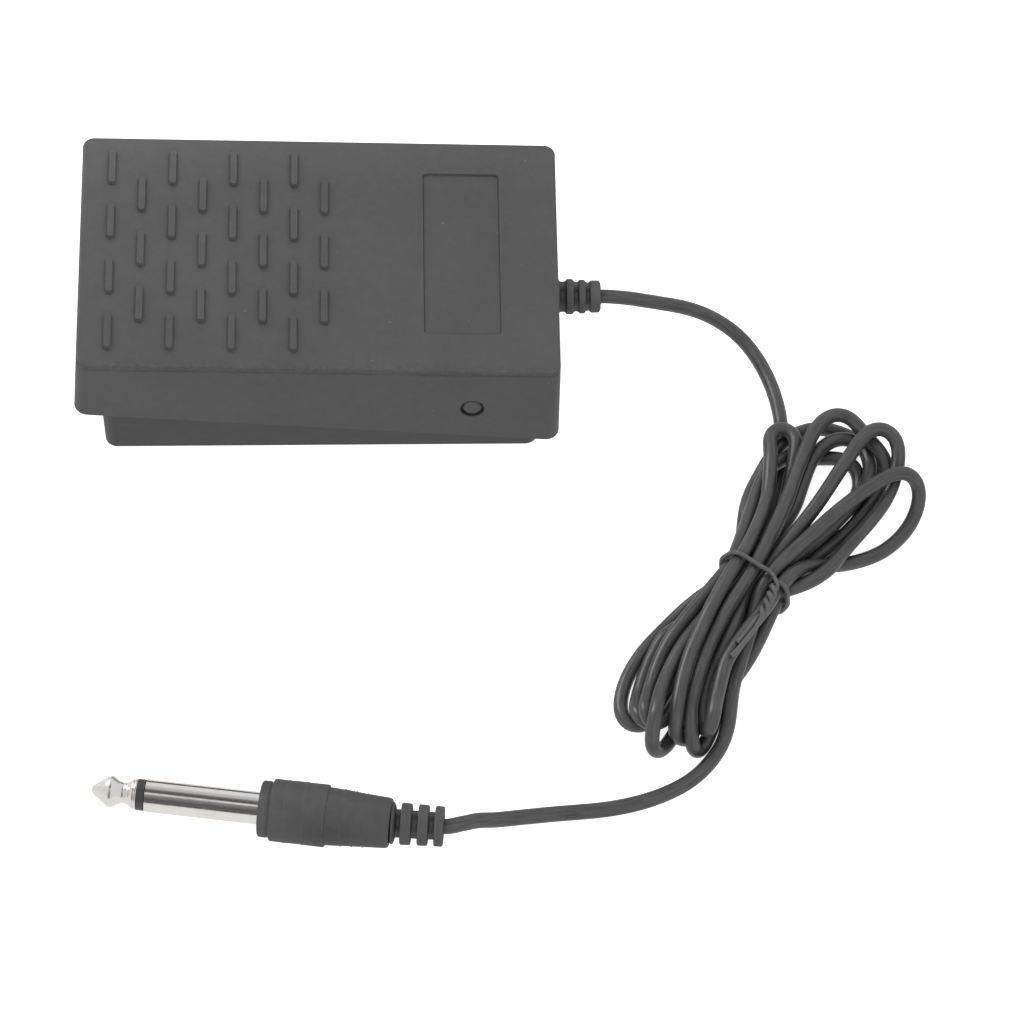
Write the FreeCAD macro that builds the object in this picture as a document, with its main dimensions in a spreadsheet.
import FreeCAD, Part
import math
import os
import Sketcher
from FreeCAD import Vector, Rotation, Placement

# Sustain pedal for a keyboard: hinged treadle on a hollow tray, leaf switch inside, moulded boot,
# hanked two-core cable and a 6.35 mm two-pole plug. Millimetres. Floor is z = 0, the tray is
# centred on the origin, +X runs from the foot end to the cable end, +Y to the far (back) side,
# +Z up.

os.makedirs("parts", exist_ok=True)
doc = FreeCAD.newDocument("SustainPedal")

# ---- driving dimensions ----
SIZES = dict(
    # treadle in its own frame: x from the foot end, z = 0 on the top face
    cover_len=99.54, cover_wid=62.11, cover_corner=2.4, cover_edge=0.5, cover_wall=2.0,
    cover_top=2.2, cover_draft=1.75, skirt_foot=15.15, skirt_cable=21.15,
    cover_x=-49.88, cover_z=32.79, cover_tilt=1.9736,
    rib_len=9.6, rib_wid=1.95, rib_h=0.9, rib_pitch_x=6.367, rib_pitch_y=14.80,
    rib_x0=6.31, rib_y0=0.38,
    panel_x0=71.47, panel_x1=87.48, panel_y0=-21.06, panel_y1=22.56, panel_r=1.0, panel_d=0.45,
    # treadle pivot: boss, bore and counterbore
    piv_x=81.73, piv_z=-11.48, piv_boss_r=4.5, piv_boss_in=28.0,
    piv_hole_r=2.05, piv_cb_r=2.5, piv_cb_y=30.5,
    notch_r=4.5, notch_z=-12.8, hook_y=14.0, hook_w=6.0, spigot_r=2.3, spigot_x=26.43,
    post_x=66.53, post_end=-17.66,
    # tray, its hinge and pins
    tray_len=92.15, tray_wid=55.7, tray_r=2.6, tray_z0=0.8, tray_top=26.6,
    tray_top_foot=22.3, tray_floor=3.4, tray_wall=2.0, tray_draft=2.0,
    hinge_x=31.41, hinge_z=18.5, boss_r=4.0, boss_in=20.0, bore_r=2.01,
    pin_r=2.0, pin_in=21.7, pin_out=31.25,
    spring_x=-24.0, cup_ro=6.4, cup_ri=4.9, cup_h=3.0,
    # end stops
    bump_x=-37.0, bump_y=17.0, bump_post_r=5.0, bump_post_z=16.0, bump_top=23.26,
    bump_r=4.0, bump_stem_r=2.45, bump_hole_r=2.5, bump_stem_z=9.2,
    # switch stack and screws
    stack_x0=-8.0, stack_x1=2.0, stack_hw=5.5, stack_z0=7.6, blade_t=0.3, blade_w=6.0,
    spacer_lo=1.0, spacer_up=3.4, plate_t=1.2,
    screw_r=1.25, screw_head_r=2.2, screw_head_h=1.6, screw_y=3.2,
    # cable saddle, clamp, floor pad, cable
    saddle_x0=35.0, saddle_x1=39.6, saddle_hw=9.0, saddle_z=16.45, cable_z=16.55,
    clamp_z0=16.65, clamp_z1=19.25, clamp_screw_y=6.0,
    pad_len=76.0, pad_wid=40.0, pad_r=4.0, pad_gap=0.15, pad_h=1.4,
    cable_r=1.5, grip_bore=1.52,
    # plug, measured along its own axis from the tip
    tip_len=9.1, ring_len=1.55, shank_r=3.175, shank_end=33.8,
    core_r=1.1, grip_end=60.05, grip_r=6.27, plug_z=6.37,
)


def text_of(value):
    return value.text if isinstance(value, Dim) else repr(float(value))


class Dim(float):
    """A number together with the spreadsheet expression it comes from."""

    def __new__(cls, value, text):
        made = float.__new__(cls, value)
        made.text = text
        return made

    def __add__(self, other):
        return Dim(float.__add__(self, other), "(%s + %s)" % (self.text, text_of(other)))

    def __sub__(self, other):
        return Dim(float.__sub__(self, other), "(%s - %s)" % (self.text, text_of(other)))

    def __rsub__(self, other):
        return Dim(float.__rsub__(self, other), "(%s - %s)" % (text_of(other), self.text))

    def __mul__(self, other):
        return Dim(float.__mul__(self, other), "(%s * %s)" % (self.text, text_of(other)))

    def __truediv__(self, other):
        return Dim(float.__truediv__(self, other), "(%s / %s)" % (self.text, text_of(other)))

    def __neg__(self):
        return self * -1

    __radd__ = __add__
    __rmul__ = __mul__


class Dimensions:
    """Holds one Dim per alias of the spreadsheet."""


dim = Dimensions()
sheet = doc.addObject("Spreadsheet::Sheet", "Sizes")
for row, (alias, number) in enumerate(SIZES.items(), 1):
    sheet.set("A%d" % row, alias)
    sheet.set("B%d" % row, str(number))
    sheet.setAlias("B%d" % row, alias)
    setattr(dim, alias, Dim(number, "Sizes." + alias))
doc.recompute()

# ---- bodies and sketches ----
pieces = {}
serials = iter(range(1, 1000))


def new_body(name, x=0.0, y=0.0, z=0.0, turned=Rotation(), exported=True):
    body = doc.addObject("PartDesign::Body", name)
    body.Label = name
    body.Placement = Placement(Vector(x, y, z), turned)
    for axis, value in (("x", x), ("y", y), ("z", z)):
        if isinstance(value, Dim):
            body.setExpression("Placement.Base." + axis, value.text)
    if exported:
        pieces[name] = body
    return body


def add_to(body, kind, label):
    return body.newObject(kind, "%s_%s_%d" % (label, body.Label, next(serials)))


def sketch(body, axes, offset=0.0):
    """Empty sketch on the body's XY, XZ or YZ plane. XZ offsets run towards -Y."""
    profile = add_to(body, "Sketcher::SketchObject", "Sketch")
    base = next(f for f in body.Origin.OriginFeatures if f.Role == axes + "_Plane")
    profile.AttachmentSupport = [(base, "")]
    profile.MapMode = "FlatFace"
    profile.AttachmentOffset = Placement(Vector(0, 0, offset), Rotation())
    if isinstance(offset, Dim):
        profile.setExpression("AttachmentOffset.Base.z", offset.text)
    return profile


def hold(profile, value, kind, *place):
    """Dimension a sketch element, bound to the spreadsheet when the value comes from it."""
    index = profile.addConstraint(Sketcher.Constraint(kind, *place, float(value)))
    if isinstance(value, Dim):
        profile.setExpression("Constraints[%d]" % index, value.text)


def hold_point(profile, element, point, x, y):
    hold(profile, x, "DistanceX", element, point)
    hold(profile, y, "DistanceY", element, point)


def join(profile, kind, first, second):
    """End of one element to the start of the next."""
    profile.addConstraint(Sketcher.Constraint(kind, first, 2, second, 1))


def add_line(profile, x0, y0, x1, y1):
    profile.addGeometry(Part.LineSegment(Vector(x0, y0, 0), Vector(x1, y1, 0)), False)


def add_arc(profile, x, y, r, start, end):
    full = Part.Circle(Vector(x, y, 0), Vector(0, 0, 1), float(r))
    arc = Part.ArcOfCircle(full, math.radians(start), math.radians(end))
    profile.addGeometry(arc, False)


def polygon(profile, points):
    """Closed polygon, every corner held by its own two dimensions."""
    count = len(points)
    for start, end in zip(points, points[1:] + points[:1]):
        add_line(profile, *start, *end)
    for i in range(count):
        join(profile, "Coincident", i, (i + 1) % count)
    for i, (x, y) in enumerate(points):
        hold_point(profile, i, 1, x, y)
    return profile


def rectangle(profile, x0, x1, y0, y1):
    """Rectangle that may share its sketch with others."""
    first = profile.GeometryCount
    corners = [(x0, y0), (x1, y0), (x1, y1), (x0, y1)]
    for start, end in zip(corners, corners[1:] + corners[:1]):
        add_line(profile, *start, *end)
    for i in range(4):
        join(profile, "Coincident", first + i, first + (i + 1) % 4)
    for i, (x, y) in enumerate(corners):
        hold_point(profile, first + i, 1, x, y)
    return profile


def rounded(profile, x0, x1, y0, y1, r):
    """Rectangle with four equal corner arcs."""
    left, right, low, high = x0 + r, x1 - r, y0 + r, y1 - r
    add_line(profile, left, y0, right, y0)
    add_line(profile, x1, low, x1, high)
    add_line(profile, right, y1, left, y1)
    add_line(profile, x0, high, x0, low)
    centres = [(right, low), (right, high), (left, high), (left, low)]
    for i, (x, y) in enumerate(centres):
        start = (270 + 90 * i) % 360
        add_arc(profile, x, y, r, start, start + 90)
    for i in range(4):
        join(profile, "Tangent", i, 4 + i)
        join(profile, "Tangent", 4 + i, (i + 1) % 4)
    for i, (x, y) in enumerate(centres):
        hold_point(profile, 4 + i, 3, x, y)
        hold(profile, r, "Radius", 4 + i)
    return profile


def circle(profile, x, y, r):
    """Circle; a zero coordinate is held by putting the centre on the sketch axis."""
    ring = profile.GeometryCount
    profile.addGeometry(Part.Circle(Vector(x, y, 0), Vector(0, 0, 1), float(r)), False)
    hold(profile, r, "Radius", ring)
    for kind, value, axis in (("DistanceX", x, -2), ("DistanceY", y, -1)):
        if abs(value) < 1e-9:
            profile.addConstraint(Sketcher.Constraint("PointOnObject", ring, 3, axis))
        else:
            hold(profile, value, kind, ring, 3)
    return profile


def circle_pair(profile, x, y, r):
    for side in (1, -1):
        circle(profile, x, y * side, r)
    return profile


# ---- solid features ----
def bind(feature, name, value):
    setattr(feature, name, float(value))
    if isinstance(value, Dim):
        feature.setExpression(name, value.text)


def volume(body):
    return 0.0 if body.Shape.isNull() else body.Shape.Volume


def settle(body, before, feature, sign):
    """Recompute; the feature has to add (sign 1) or remove (sign -1) material."""
    doc.recompute()
    if (volume(body) - before) * sign <= 1e-4:
        raise RuntimeError("%s: %s left the volume at %.3f" % (body.Label, feature.Name, before))


def extrude(kind, sign, profile, length, reverse=False, mid=False, taper=0.0):
    body = profile.getParentGeoFeatureGroup()
    before = volume(body)
    feature = add_to(body, "PartDesign::" + kind, kind)
    feature.Profile = profile
    bind(feature, "Length", length)
    feature.Reversed = reverse
    feature.Midplane = mid
    bind(feature, "TaperAngle", taper)
    profile.Visibility = False
    settle(body, before, feature, sign)
    return feature


def pad(profile, length, **options):
    return extrude("Pad", 1, profile, length, **options)


def pocket(profile, length, **options):
    return extrude("Pocket", -1, profile, length, **options)


def turn(body, points, axis="H_Axis"):
    """Closed XZ profile swung round the body's X axis (H_Axis) or Z axis (V_Axis)."""
    before = volume(body)
    profile = polygon(sketch(body, "XZ"), points)
    feature = add_to(body, "PartDesign::Revolution", "Turn")
    feature.Profile = profile
    feature.ReferenceAxis = (profile, [axis])
    feature.Angle = 360
    profile.Visibility = False
    settle(body, before, feature, 1)


def round_edges(feature, z, radius):
    """Fillet the edges of a feature that lie flat at height z."""
    names = []
    for i, edge in enumerate(feature.Shape.Edges, 1):
        box = edge.BoundBox
        if abs(box.ZMin - z) < 0.01 and abs(box.ZMax - z) < 0.01:
            names.append("Edge%d" % i)
    body = feature.getParentGeoFeatureGroup()
    fillet = add_to(body, "PartDesign::Fillet", "Round")
    fillet.Base = (feature, names)
    bind(fillet, "Radius", radius)
    doc.recompute()


# ---- round rods along a list of points ----
def rod_frames(points):
    """Tangent and a normal carried along without twist, at each point."""
    last = len(points) - 1
    tangents = []
    for i in range(last + 1):
        tangent = points[min(last, i + 1)] - points[max(0, i - 1)]
        tangent.normalize()
        tangents.append(tangent)
    up = Vector(0, 0, 1)
    if abs(tangents[0].dot(up)) > 0.9:
        up = Vector(0, 1, 0)
    normal = up - tangents[0] * up.dot(tangents[0])
    normal.normalize()
    normals = [normal]
    for i in range(1, last + 1):
        # two reflections: across the step, then onto the new tangent
        step = points[i] - points[i - 1]
        scale = 2.0 / step.dot(step)
        normal = normal - step * (scale * step.dot(normal))
        turned = tangents[i] - (tangents[i - 1] - step * (scale * step.dot(tangents[i - 1])))
        size = turned.dot(turned)
        if size > 1e-12:
            normal = normal - turned * (2.0 / size * turned.dot(normal))
        normal = normal - tangents[i] * normal.dot(tangents[i])
        normal.normalize()
        normals.append(normal)
    return tangents, normals


def rod(points, radius, per_face=34):
    """Round rod: one rational surface split into faces of per_face steps, with flat ends."""
    tangents, normals = rod_frames(points)
    last = len(points) - 1
    along = [0.0]
    for start, end in zip(points[:-1], points[1:]):
        along.append(along[-1] + (end - start).Length)
    # control polygon of a circle as a nine-point square; mid-side points have weight 1
    square = [(1, 0), (1, 1), (0, 1), (-1, 1), (-1, 0), (-1, -1), (0, -1), (1, -1), (1, 0)]
    tracks = []
    for a, b in square:
        track = Part.BSplineCurve()
        track.interpolate(
            Points=[p + n * (a * radius) + t.cross(n) * (b * radius)
                    for p, t, n in zip(points, tangents, normals)],
            Parameters=along)
        tracks.append(track)
    lead = tracks[0]
    poles = [[track.getPole(i + 1) for track in tracks] for i in range(lead.NbPoles)]
    corner = math.sqrt(0.5)
    weights = [[corner if k % 2 else 1.0 for k in range(9)] for _ in poles]
    skin = Part.BSplineSurface()
    skin.buildFromPolesMultsKnots(
        poles, lead.getMultiplicities(), [3, 2, 2, 2, 3], lead.getKnots(),
        [0.0, 1.0, 2.0, 3.0, 4.0], False, False, 3, 2, weights)

    cuts = list(range(0, last, per_face))
    if last - cuts[-1] < per_face // 2 and len(cuts) > 1:
        cuts.pop()
    cuts.append(last)
    faces = []
    for start, end in zip(cuts[:-1], cuts[1:]):
        part = skin.copy()
        part.segment(along[start], along[end], 0.0, 4.0)
        faces.append(part.toShape())
    for i in (0, last):
        rim = Part.Circle(points[i], tangents[i], radius)
        faces.append(Part.Face(Part.Wire(rim.toShape())))
    shell = Part.makeShell(faces)
    shell.sewShape()
    if shell.ShapeType == "Compound":
        shell = shell.Shells[0]
    solid = Part.Solid(shell)
    if solid.Volume < 0:
        solid.reverse()
    return solid if solid.isValid() else Part.Solid(Part.Shell(solid.Faces))


def smooth(knots, step):
    """Points about one step apart on a spline through the knots."""
    curve = Part.BSplineCurve()
    curve.interpolate([Vector(*k) for k in knots])
    start = curve.FirstParameter
    length = curve.length()
    count = max(8, int(length / step))
    points = [curve.value(start)]
    for i in range(1, count + 1):
        points.append(curve.value(curve.parameterAtDistance(length * i / count, start)))
    return points


def shape_piece(name, shape):
    feature = doc.addObject("Part::Feature", name)
    feature.Label = name
    feature.Shape = shape
    pieces[name] = feature


# ---- places shared between pieces ----
stack_mid = (dim.stack_x0 + dim.stack_x1) / 2
saddle_mid = (dim.saddle_x0 + dim.saddle_x1) / 2
pilot_r = dim.screw_r + 0.02
clearance_r = dim.screw_r + 0.15
# underside heights in the switch stack
fixed_z = dim.stack_z0 + dim.spacer_lo
upper_z = fixed_z + dim.blade_t
moving_z = upper_z + dim.spacer_up
plate_z = moving_z + dim.blade_t
head_z = plate_z + dim.plate_t


# ---- tray ----
def tray_shell(tray):
    height = dim.tray_top - dim.tray_z0
    inset = height * math.tan(math.radians(dim.tray_draft))
    x = dim.tray_len / 2 - inset
    y = dim.tray_wid / 2 - inset
    block = pad(rounded(sketch(tray, "XY", dim.tray_z0), -x, x, -y, y, dim.tray_r),
                height, taper=dim.tray_draft)
    round_edges(block, dim.tray_z0, 0.35)
    x = x - dim.tray_wall + 0.05
    y = y - dim.tray_wall + 0.05
    pocket(rounded(sketch(tray, "XY", dim.tray_floor), -x, x, -y, y, 1.6),
           24.0, reverse=True, taper=dim.tray_draft)
    # the rim slopes down from bend_x to the foot end
    bend_x = 26.6
    slope = (dim.tray_top - dim.tray_top_foot) / (bend_x + dim.tray_len / 2)
    pocket(polygon(sketch(tray, "XZ"), [
        (-60, dim.tray_top_foot - slope * 13.8), (bend_x, dim.tray_top), (60, dim.tray_top),
        (60, 45), (-60, 45)]), 80, mid=True)


def build_tray():
    tray = new_body("base_tray")
    tray_shell(tray)
    # pivot bosses and bore
    for side in (1, -1):
        pad(circle(sketch(tray, "XZ", -side * dim.boss_in), dim.hinge_x, dim.hinge_z, dim.boss_r),
            6.2, reverse=(side > 0))
    pocket(circle(sketch(tray, "XZ"), dim.hinge_x, dim.hinge_z, dim.bore_r), 80, mid=True)
    # spring cup; everything on the floor is rooted a little inside it
    root = dim.tray_floor - 0.4
    cup = circle(sketch(tray, "XY", root), dim.spring_x, 0, dim.cup_ro)
    pad(circle(cup, dim.spring_x, 0, dim.cup_ri), dim.cup_h + 0.4)
    # posts for the end stops
    pad(circle_pair(sketch(tray, "XY", root), dim.bump_x, dim.bump_y, dim.bump_post_r),
        dim.bump_post_z - root)
    pocket(circle_pair(sketch(tray, "XY", dim.bump_post_z), dim.bump_x, dim.bump_y,
                       dim.bump_hole_r), dim.bump_post_z - dim.bump_stem_z + 0.2)
    # switch block with pilot holes
    pad(rounded(sketch(tray, "XY", root), dim.stack_x0, dim.stack_x1, -dim.stack_hw,
                dim.stack_hw, 0.8), dim.stack_z0 - root)
    pocket(circle_pair(sketch(tray, "XY", dim.stack_z0), stack_mid, dim.screw_y, pilot_r), 4.0)
    # cable saddle with its groove and pilot holes
    pad(rounded(sketch(tray, "XY", root), dim.saddle_x0, dim.saddle_x1, -dim.saddle_hw,
                dim.saddle_hw, 0.8), dim.saddle_z - root)
    pocket(circle(sketch(tray, "YZ", dim.saddle_x0 - 1.0), 0, dim.cable_z, dim.grip_bore),
           6.6, reverse=True)
    pocket(circle_pair(sketch(tray, "XY", dim.saddle_z), saddle_mid, dim.clamp_screw_y, pilot_r),
           8.5)
    # slot for the boot in the cable end wall, open at the rim
    slot_x, slot_r = 41.0, 3.66
    pocket(circle(sketch(tray, "YZ", slot_x), 0, dim.cable_z, slot_r), 6.0, reverse=True)
    pocket(rectangle(sketch(tray, "YZ", slot_x), -slot_r, slot_r, dim.cable_z, 30.0),
           6.0, reverse=True)
    # windows for the treadle's rest hooks
    windows = sketch(tray, "YZ", -40.0)
    for side in (1, -1):
        rectangle(windows, dim.hook_y * side - 3.5, dim.hook_y * side + 3.5, 9.3, 19.42)
    pocket(windows, 8.0)
    # shallow recess for the floor pad
    x = dim.pad_len / 2 + dim.pad_gap
    y = dim.pad_wid / 2 + dim.pad_gap
    pocket(rounded(sketch(tray, "XY", dim.tray_z0), -x, x, -y, y, dim.pad_r + dim.pad_gap),
           dim.pad_h - dim.tray_z0, reverse=True)


def build_floor_pad():
    x = dim.pad_len / 2
    y = dim.pad_wid / 2
    sheet_pad = pad(rounded(sketch(new_body("floor_pad"), "XY"), -x, x, -y, y, dim.pad_r),
                    dim.pad_h - 0.01)
    round_edges(sheet_pad, 0.0, 0.3)


# ---- treadle, modelled level and tipped by its resting angle ----
def cover_shell(cover):
    y = dim.cover_wid / 2
    block = pad(rounded(sketch(cover, "XY"), 0, dim.cover_len, -y, y, dim.cover_corner),
                22.0, reverse=True, taper=dim.cover_draft)
    round_edges(block, 0.0, dim.cover_edge)
    wall = dim.cover_wall
    pocket(rounded(sketch(cover, "XY", -dim.cover_top), wall, dim.cover_len - wall,
                   wall - y, y - wall, 1.4), 24.0, taper=dim.cover_draft)
    # the skirt deepens towards the cable end
    slope = (dim.skirt_cable - dim.skirt_foot) / dim.cover_len
    pocket(polygon(sketch(cover, "XZ"), [
        (-4, slope * 4 - dim.skirt_foot), (103.5, -dim.skirt_foot - slope * 103.5),
        (103.5, -40), (-4, -40)]), 80, mid=True)


def rib_outlines(profile, x, centres_y):
    """Round-ended bars across the treadle."""
    r = dim.rib_wid / 2
    reach = dim.rib_len / 2 - r
    for y in centres_y:
        first = profile.GeometryCount
        add_line(profile, x + r, y - reach, x + r, y + reach)
        add_arc(profile, x, y + reach, r, 0, 180)
        add_line(profile, x - r, y + reach, x - r, y - reach)
        add_arc(profile, x, y - reach, r, 180, 360)
        for i in range(4):
            join(profile, "Tangent", first + i, first + (i + 1) % 4)
        hold_point(profile, first + 1, 3, x, y + reach)
        hold_point(profile, first + 3, 3, x, y - reach)
        hold(profile, r, "Radius", first + 1)
    return profile


def grip_ribs(cover):
    """Two staggered sets of ribs stepped along the treadle."""
    sets = ((dim.rib_x0, (-1.5, -0.5, 0.5, 1.5)), (dim.rib_x0 + dim.rib_pitch_x, (-1, 0, 1)))
    for x, steps in sets:
        profile = rib_outlines(sketch(cover, "XY", -0.02), x,
                               [dim.rib_y0 + dim.rib_pitch_y * k for k in steps])
        ribs = pad(profile, dim.rib_h + 0.02, taper=-20.0)
        before = volume(cover)
        pattern = add_to(cover, "PartDesign::LinearPattern", "Row")
        pattern.Originals = [ribs]
        pattern.Direction = (profile, ["H_Axis"])
        bind(pattern, "Length", dim.rib_pitch_x * 6)
        pattern.Occurrences = 4
        cover.Tip = pattern
        settle(cover, before, pattern, 1)


def build_cover():
    cover = new_body("pedal_cover", dim.cover_x, 0, dim.cover_z,
                     Rotation(Vector(0, 1, 0), float(dim.cover_tilt)))
    cover.setExpression("Placement.Rotation.Angle", dim.cover_tilt.text)
    cover_shell(cover)
    grip_ribs(cover)
    # blank sunk panel
    pocket(rounded(sketch(cover, "XY"), dim.panel_x0, dim.panel_x1, dim.panel_y0, dim.panel_y1,
                   dim.panel_r), dim.panel_d, taper=-25.0)
    # pivot bosses, bore and the shallow counterbores outside
    for side in (1, -1):
        pad(circle(sketch(cover, "XZ", -side * dim.piv_boss_in), dim.piv_x, dim.piv_z,
                   dim.piv_boss_r), 1.8, reverse=(side > 0))
    pocket(circle(sketch(cover, "XZ"), dim.piv_x, dim.piv_z, dim.piv_hole_r), 90, mid=True)
    for side in (1, -1):
        pocket(circle(sketch(cover, "XZ", -side * dim.piv_cb_y), dim.piv_x, dim.piv_z,
                      dim.piv_cb_r), 4.0, reverse=(side < 0))
    # notch over the boot
    notch_x = 95.0
    pocket(circle(sketch(cover, "YZ", notch_x), 0, dim.notch_z, dim.notch_r), 8.0, reverse=True)
    pocket(rectangle(sketch(cover, "YZ", notch_x), -dim.notch_r, dim.notch_r, -30.0, dim.notch_z),
           8.0, reverse=True)
    # rest hooks
    for side in (1, -1):
        pad(polygon(sketch(cover, "XZ", -side * dim.hook_y), [
            (0.8, -14.95), (5.7, -14.95), (6.5, -14.2), (6.5, -13.35), (2.4, -13.35),
            (0.8, -11.0)]), dim.hook_w, mid=True)
    # spring spigot, then the switch post and its web, all rooted inside the top
    root = -2.0
    pad(circle(sketch(cover, "XY", root), dim.spigot_x, 0, dim.spigot_r), 4.6, reverse=True)
    pad(rounded(sketch(cover, "XY", root), dim.post_x - 1.2, dim.post_x + 1.2, -2.5, 2.5, 0.4),
        root - dim.post_end, reverse=True)
    pad(rectangle(sketch(cover, "XY", root), dim.post_x - 4.5, dim.post_x + 4.5, -0.5, 0.5),
        9.0, reverse=True)
    # stiffening ribs under the top
    for x in (18.5, 44.0, 56.0):
        pad(rectangle(sketch(cover, "XY", root), x - 0.6, x + 0.6, -23.5, 23.5),
            2.0, reverse=True)


# ---- pivot pins, return spring, end stops ----
def build_pin(name, side):
    length = dim.pin_out - dim.pin_in
    r = dim.pin_r
    pin = new_body(name, dim.hinge_x, dim.pin_in * side, dim.hinge_z,
                   Rotation(Vector(1, 0, 0), -90 * side))
    turn(pin, [(0, 0), (r - 0.3, 0), (r, 0.3), (r, length - 0.3), (r - 0.3, length), (0, length)],
         "V_Axis")


def build_spring():
    """Coil with one closed turn at each end and open turns between."""
    wire_r, coil_r, top_z = 0.45, 4.05, 29.47
    turns, steps_per_turn = 9, 20
    low = float(dim.tray_floor) + wire_r + 0.03
    high = top_z - wire_r
    end_rise = (2 * wire_r + 0.04) * 0.5
    points = []
    for i in range(turns * steps_per_turn + 1):
        done = i / steps_per_turn
        if done < 1:
            z = low + end_rise * done ** 2
        elif done > turns - 1:
            z = high - end_rise * (turns - done) ** 2
        else:
            z = low + end_rise + (high - low - 2 * end_rise) * (done - 1) / (turns - 2)
        angle = 2 * math.pi * done
        points.append(Vector(dim.spring_x + coil_r * math.cos(angle),
                             coil_r * math.sin(angle), z))
    shape_piece("return_spring", rod(points, wire_r, 40))


def build_bumper(name, side):
    r, stem_r, seat = dim.bump_r, dim.bump_stem_r, dim.bump_post_z + 0.01
    low, top = dim.bump_stem_z, dim.bump_top
    turn(new_body(name, dim.bump_x, dim.bump_y * side), [
        (0, low), (stem_r - 0.3, low), (stem_r, low + 0.3), (stem_r, seat), (r, seat),
        (r, top - 1.2), (r - 1.2, top), (0, top)], "V_Axis")


# ---- leaf switch ----
GAP = 0.005         # clearance on each face of a stack layer
CONTACT_X = 18.0
RIVET_HOLE_R = 0.62


def stack_layer(name, z, thickness, outlines):
    """Flat layer of (x0, x1, y0, y1, corner) outlines with two screw holes."""
    layer = new_body(name, 0, 0, z + GAP)
    for outline in outlines:
        pad(rounded(sketch(layer, "XY"), *outline), thickness - 2 * GAP)
    pocket(circle_pair(sketch(layer, "XY"), stack_mid, dim.screw_y, clearance_r),
           9, reverse=True)
    return layer


def build_switch():
    x0, x1, y = dim.stack_x0, dim.stack_x1, dim.stack_hw - 0.5
    blade_t, blade_y = dim.blade_t, dim.blade_w / 2
    spacer = (x0 + 0.3, x1 - 0.3, -y, y, 0.6)
    stack_layer("stack_spacer_lower", dim.stack_z0, dim.spacer_lo, [spacer])
    blade = stack_layer("fixed_contact_blade", fixed_z, blade_t, [
        (x0, x1 - 0.2, -y, y, 0.5), (1.0, 20.0, -blade_y, blade_y, 1.0),
        (-13.0, -7.5, -4.2, -1.2, 0.6)])
    pocket(circle(sketch(blade, "XY"), CONTACT_X, 0, RIVET_HOLE_R), 3, reverse=True)
    turn(new_body("fixed_contact_rivet", CONTACT_X, 0, fixed_z + GAP), [
        (0, -0.35), (1.0, -0.35), (1.0, -0.01), (0.6, -0.01), (0.6, blade_t), (1.3, blade_t),
        (1.3, blade_t + 0.55), (0.9, blade_t + 0.95), (0, blade_t + 1.0)], "V_Axis")
    stack_layer("stack_spacer_upper", upper_z, dim.spacer_up, [spacer])
    stack_layer("moving_contact_terminal", moving_z, blade_t, [
        (x0, x1 - 0.03, -y, y, 0.5), (-13.0, -7.5, 1.2, 4.2, 0.6)])

    arm_x = 2.15
    arm = new_body("moving_contact_arm", arm_x, 0, moving_z + GAP)
    pad(rounded(sketch(arm, "XY"), 0.0, 17.85, -blade_y, blade_y, 0.9), blade_t - 2 * GAP)
    pocket(circle(sketch(arm, "XY"), CONTACT_X - arm_x, 0, RIVET_HOLE_R), 3, reverse=True)
    # rolled root edge the strip turns about
    pad(circle(sketch(arm, "XZ"), 0.0, blade_t / 2 - GAP, blade_t / 2 - GAP),
        dim.blade_w, mid=True)
    turn(new_body("moving_contact_rivet", CONTACT_X, 0, moving_z + GAP), [
        (0, -0.75), (0.9, -0.70), (1.3, -0.35), (1.3, 0.0), (0.6, 0.0), (0.6, blade_t),
        (1.0, blade_t), (1.0, blade_t + 0.15), (0, blade_t + 0.15)], "V_Axis")
    stack_layer("stack_clamp_plate", plate_z, dim.plate_t, [(x0 + 0.1, x1 - 0.3, -y, y, 1.0)])


# ---- screws, cable clamp, boot ----
def screw_pair(name, x, y, seat_z):
    """Two cross-slotted pan-head screws exported as one piece."""
    depth = 10.0
    screw = new_body(name + "_one", exported=False)
    r, head_r, head_h = dim.screw_r, dim.screw_head_r, dim.screw_head_h
    turn(screw, [(0, -depth), (r - 0.5, -depth), (r, -depth + 0.8), (r, 0), (head_r, 0),
                 (head_r, head_h - 0.6), (head_r - 0.7, head_h), (0, head_h)], "V_Axis")
    for half_x, half_y in ((1.2, 0.3), (0.3, 1.2)):
        pocket(rectangle(sketch(screw, "XY", head_h - 0.7), -half_x, half_x, -half_y, half_y),
               3.0, reverse=True)
    solids = []
    for place_y, angle in ((y, 25), (-y, 65)):
        copy = screw.Shape.copy()
        copy.Placement = Placement(Vector(x, place_y, seat_z + 0.01),
                                   Rotation(Vector(0, 0, 1), angle))
        solids.append(copy.Solids[0])
    shape_piece(name, Part.makeCompound(solids))


def build_clamp():
    clamp = new_body("cable_clamp", 0, 0, dim.clamp_z0)
    pad(rounded(sketch(clamp, "XY"), dim.saddle_x0, dim.saddle_x1, -dim.saddle_hw,
                dim.saddle_hw, 1.2), dim.clamp_z1 - dim.clamp_z0)
    pocket(circle(sketch(clamp, "YZ", dim.saddle_x0 - 1.0), 0, dim.cable_z - dim.clamp_z0,
                  dim.grip_bore), 6.8, reverse=True)
    pocket(circle_pair(sketch(clamp, "XY"), saddle_mid, dim.clamp_screw_y, clearance_r),
           9, reverse=True)


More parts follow.
